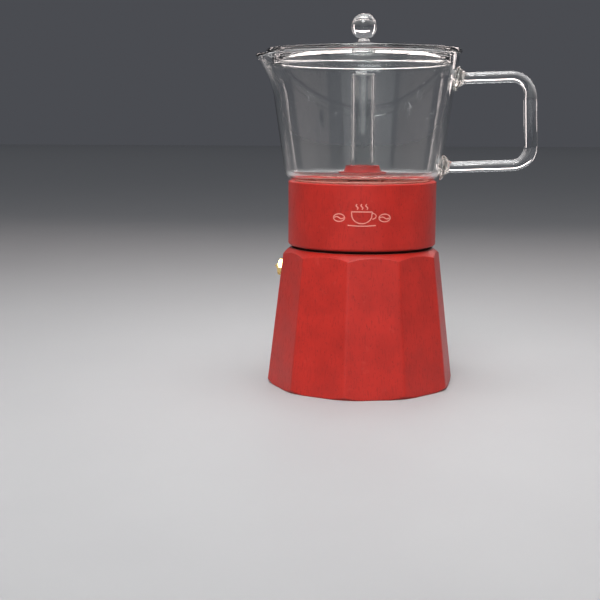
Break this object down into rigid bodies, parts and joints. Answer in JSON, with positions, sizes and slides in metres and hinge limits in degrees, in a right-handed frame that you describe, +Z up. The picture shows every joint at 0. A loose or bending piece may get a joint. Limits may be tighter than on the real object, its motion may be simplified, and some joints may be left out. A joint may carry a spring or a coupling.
{
  "type": "stovetop moka pot with glass jug",
  "caption": "Stovetop coffee maker: faceted red aluminium boiler and screw collar under a clear glass jug with a coffee column, rod handle and loose lid.",
  "frame": {"origin": "centre of the boiler's flat underside, on the axis of the boiler, collar and jug", "axes": "+Z up along the axis, +X towards the handle, -X towards the spout, -Y towards the viewer"},
  "size_m": [0.1467, 0.1012, 0.1928],
  "materials": {
    "red_boiler": "cast aluminium with a satin red baked lacquer outside, bare inside",
    "red_collar": "cast aluminium with a satin red baked lacquer outside, bare inside",
    "red_nut": "turned aluminium, red lacquer",
    "bare_aluminium": "pressed and turned, bare",
    "brass": "turned and polished",
    "spring_steel": "drawn stainless wire",
    "valve_fibre": "pressed sealing fibre",
    "white_silicone": "moulded food silicone, white",
    "clear_silicone": "moulded food silicone, milky and translucent",
    "clear_glass": "blown borosilicate, fire-polished"
  },
  "bodies": {
    "boiler": {"boiler": "red_boiler", "valve_body": "brass", "valve_washer": "valve_fibre", "valve_cap": "brass", "valve_spring": "spring_steel"},
    "valve_pin": {"valve_pin": "brass"},
    "funnel": {"funnel": "bare_aluminium", "funnel_sieve": "bare_aluminium"},
    "strainer": {"gasket": "white_silicone", "filter_plate": "bare_aluminium"},
    "upper": {"collar": "red_collar", "column_tube": "clear_glass", "column_seal_ring": "clear_silicone", "jug_seal": "clear_silicone", "jug": "clear_glass", "jug_handle": "clear_glass", "nut_washer": "clear_silicone", "clamp_nut": "red_nut"},
    "lid": {"lid": "clear_glass", "lid_knob": "clear_glass"}
  },
  "joints": [
    {"name": "valve_out", "type": "slide", "parent": "boiler", "child": "valve_pin", "axis": [-0.9812, 0.1554, 0.1148], "range_m": [0, 0.0015], "stiffness_N_per_m": 400, "springref_m": -0.0016, "deforming": ["valve_spring"]},
    {"name": "funnel_turn", "type": "hinge", "parent": "boiler", "child": "funnel", "pos_m": [0, 0, 0.0842], "axis": [0, 0, 1], "continuous": true},
    {"name": "upper_lift", "type": "slide", "parent": "boiler", "child": "strainer", "axis": [0, 0, 1], "range_m": [0, 0.008]},
    {"name": "upper_turn", "type": "hinge", "parent": "strainer", "child": "upper", "pos_m": [0, 0, 0.0888], "axis": [0, 0, 1], "range_deg": [0, 900]},
    {"name": "lid_lift", "type": "slide", "parent": "upper", "child": "lid", "axis": [0, 0, 1], "range_m": [0, 0.06]}
  ],
  "couplings": [
    {"joint": "upper_lift", "follows": "upper_turn", "m_per_rad": 0.00050929}
  ]
}
